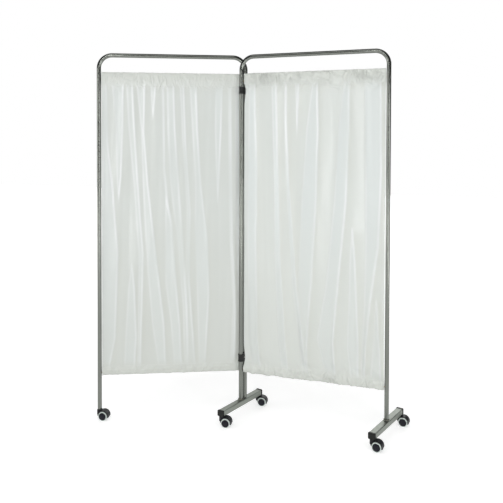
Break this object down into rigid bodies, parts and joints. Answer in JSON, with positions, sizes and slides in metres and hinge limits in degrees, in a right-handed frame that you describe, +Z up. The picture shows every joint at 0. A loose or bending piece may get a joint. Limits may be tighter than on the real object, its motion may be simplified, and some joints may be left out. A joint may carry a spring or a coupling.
{
  "type": "medical privacy screen",
  "caption": "Folding privacy screen: two bent-tube panels with gathered white curtains, joined by double clips, on foot bars with swivel castors.",
  "frame": {"origin": "on the floor, under the middle of the whole screen's box", "axes": "+X along the main panel from its inner leg to its outer leg, +Y through the panel to the side that its wing folds back to, +Z up"},
  "size_m": [1.3866, 0.4376, 1.7],
  "materials": {
    "frame_tube": "satin steel tube, lightly brushed along its length",
    "foot_bar": "satin grey steel with a faint olive cast",
    "black_fitting": "moulded black plastic, fine grain",
    "hinge_clip": "moulded black plastic with ribs",
    "screw": "plated steel",
    "curtain": "white vinyl sheet, soft gloss, finely crinkled",
    "curtain_wire": "white coated wire",
    "curtain_hook": "brass plated",
    "castor_stem": "zinc plated",
    "castor_hood": "black moulded nylon, satin",
    "castor_axle": "zinc plated",
    "wheel_hub": "black moulded nylon, satin",
    "wheel_tyre": "light grey soft tread"
  },
  "bodies": {
    "main_panel": {"main_frame_tube": "frame_tube", "middle_foot_bar": "foot_bar", "right_foot_bar": "foot_bar", "middle_foot_near_cap": "black_fitting", "middle_foot_far_cap": "black_fitting", "right_foot_near_cap": "black_fitting", "right_foot_far_cap": "black_fitting", "main_curtain": "curtain", "main_top_wire": "curtain_wire", "main_bottom_wire": "curtain_wire", "main_curtain_hooks": "curtain_hook"},
    "hinge_clips": {"upper_clip_front_shell": "hinge_clip", "upper_clip_back_shell": "hinge_clip", "lower_clip_front_shell": "hinge_clip", "lower_clip_back_shell": "hinge_clip", "clip_screws": "screw", "clip_nuts": "screw"},
    "wing_panel": {"wing_frame_tube": "frame_tube", "wing_leg_plug": "black_fitting", "wing_leg_socket": "black_fitting", "wing_curtain": "curtain", "wing_top_wire": "curtain_wire", "wing_bottom_wire": "curtain_wire", "wing_curtain_hooks": "curtain_hook"},
    "middle_foot_near_castor": {"middle_foot_near_castor_stem": "castor_stem", "middle_foot_near_castor_hood": "castor_hood", "middle_foot_near_castor_axle": "castor_axle"},
    "middle_foot_near_castor_front_wheel": {"middle_foot_near_castor_front_hub": "wheel_hub", "middle_foot_near_castor_front_tyre": "wheel_tyre"},
    "middle_foot_near_castor_back_wheel": {"middle_foot_near_castor_back_hub": "wheel_hub", "middle_foot_near_castor_back_tyre": "wheel_tyre"},
    "middle_foot_far_castor": {"middle_foot_far_castor_stem": "castor_stem", "middle_foot_far_castor_hood": "castor_hood", "middle_foot_far_castor_axle": "castor_axle"},
    "middle_foot_far_castor_front_wheel": {"middle_foot_far_castor_front_hub": "wheel_hub", "middle_foot_far_castor_front_tyre": "wheel_tyre"},
    "middle_foot_far_castor_back_wheel": {"middle_foot_far_castor_back_hub": "wheel_hub", "middle_foot_far_castor_back_tyre": "wheel_tyre"},
    "right_foot_near_castor": {"right_foot_near_castor_stem": "castor_stem", "right_foot_near_castor_hood": "castor_hood", "right_foot_near_castor_axle": "castor_axle"},
    "right_foot_near_castor_front_wheel": {"right_foot_near_castor_front_hub": "wheel_hub", "right_foot_near_castor_front_tyre": "wheel_tyre"},
    "right_foot_near_castor_back_wheel": {"right_foot_near_castor_back_hub": "wheel_hub", "right_foot_near_castor_back_tyre": "wheel_tyre"},
    "right_foot_far_castor": {"right_foot_far_castor_stem": "castor_stem", "right_foot_far_castor_hood": "castor_hood", "right_foot_far_castor_axle": "castor_axle"},
    "right_foot_far_castor_front_wheel": {"right_foot_far_castor_front_hub": "wheel_hub", "right_foot_far_castor_front_tyre": "wheel_tyre"},
    "right_foot_far_castor_back_wheel": {"right_foot_far_castor_back_hub": "wheel_hub", "right_foot_far_castor_back_tyre": "wheel_tyre"},
    "wing_castor": {"wing_castor_stem": "castor_stem", "wing_castor_hood": "castor_hood", "wing_castor_axle": "castor_axle"},
    "wing_castor_front_wheel": {"wing_castor_front_hub": "wheel_hub", "wing_castor_front_tyre": "wheel_tyre"},
    "wing_castor_back_wheel": {"wing_castor_back_hub": "wheel_hub", "wing_castor_back_tyre": "wheel_tyre"}
  },
  "joints": [
    {"name": "clip_turn", "type": "hinge", "parent": "main_panel", "child": "hinge_clips", "pos_m": [-0.07481, 0.05692, 0.274], "axis": [0, 0, 1], "range_deg": [-10, 120]},
    {"name": "wing_turn", "type": "hinge", "parent": "hinge_clips", "child": "wing_panel", "pos_m": [-0.06387, 0.08269, 0.274], "axis": [0, 0, 1], "range_deg": [-175, 3]},
    {"name": "middle_foot_near_castor_swivel", "type": "hinge", "parent": "main_panel", "child": "middle_foot_near_castor", "pos_m": [-0.11692, -0.08079, 0.046], "axis": [0, 0, 1], "continuous": true},
    {"name": "middle_foot_near_castor_front_wheel_spin", "type": "hinge", "parent": "middle_foot_near_castor", "child": "middle_foot_near_castor_front_wheel", "pos_m": [-0.09597, -0.07932, 0.021], "axis": [-0.0698, 0.9976, 0], "continuous": true},
    {"name": "middle_foot_near_castor_back_wheel_spin", "type": "hinge", "parent": "middle_foot_near_castor", "child": "middle_foot_near_castor_back_wheel", "pos_m": [-0.09597, -0.07932, 0.021], "axis": [-0.0698, 0.9976, 0], "continuous": true},
    {"name": "middle_foot_far_castor_swivel", "type": "hinge", "parent": "main_panel", "child": "middle_foot_far_castor", "pos_m": [-0.03271, 0.19463, 0.046], "axis": [0, 0, 1], "continuous": true},
    {"name": "middle_foot_far_castor_front_wheel_spin", "type": "hinge", "parent": "middle_foot_far_castor", "child": "middle_foot_far_castor_front_wheel", "pos_m": [-0.01176, 0.19609, 0.021], "axis": [-0.0698, 0.9976, 0], "continuous": true},
    {"name": "middle_foot_far_castor_back_wheel_spin", "type": "hinge", "parent": "middle_foot_far_castor", "child": "middle_foot_far_castor_back_wheel", "pos_m": [-0.01176, 0.19609, 0.021], "axis": [-0.0698, 0.9976, 0], "continuous": true},
    {"name": "right_foot_near_castor_swivel", "type": "hinge", "parent": "main_panel", "child": "right_foot_near_castor", "pos_m": [0.56108, -0.08079, 0.046], "axis": [0, 0, 1], "continuous": true},
    {"name": "right_foot_near_castor_front_wheel_spin", "type": "hinge", "parent": "right_foot_near_castor", "child": "right_foot_near_castor_front_wheel", "pos_m": [0.58183, -0.08407, 0.021], "axis": [0.1564, 0.9877, 0], "continuous": true},
    {"name": "right_foot_near_castor_back_wheel_spin", "type": "hinge", "parent": "right_foot_near_castor", "child": "right_foot_near_castor_back_wheel", "pos_m": [0.58183, -0.08407, 0.021], "axis": [0.1564, 0.9877, 0], "continuous": true},
    {"name": "right_foot_far_castor_swivel", "type": "hinge", "parent": "main_panel", "child": "right_foot_far_castor", "pos_m": [0.64529, 0.19463, 0.046], "axis": [0, 0, 1], "continuous": true},
    {"name": "right_foot_far_castor_front_wheel_spin", "type": "hinge", "parent": "right_foot_far_castor", "child": "right_foot_far_castor_front_wheel", "pos_m": [0.66603, 0.19134, 0.021], "axis": [0.1564, 0.9877, 0], "continuous": true},
    {"name": "right_foot_far_castor_back_wheel_spin", "type": "hinge", "parent": "right_foot_far_castor", "child": "right_foot_far_castor_back_wheel", "pos_m": [0.66603, 0.19134, 0.021], "axis": [0.1564, 0.9877, 0], "continuous": true},
    {"name": "wing_castor_swivel", "type": "hinge", "parent": "wing_panel", "child": "wing_castor", "pos_m": [-0.68083, -0.19847, 0.046], "axis": [0, 0, 1], "continuous": true},
    {"name": "wing_castor_front_wheel_spin", "type": "hinge", "parent": "wing_castor", "child": "wing_castor_front_wheel", "pos_m": [-0.65998, -0.19591, 0.021], "axis": [-0.1219, 0.9925, 0], "continuous": true},
    {"name": "wing_castor_back_wheel_spin", "type": "hinge", "parent": "wing_castor", "child": "wing_castor_back_wheel", "pos_m": [-0.65998, -0.19591, 0.021], "axis": [-0.1219, 0.9925, 0], "continuous": true}
  ]
}
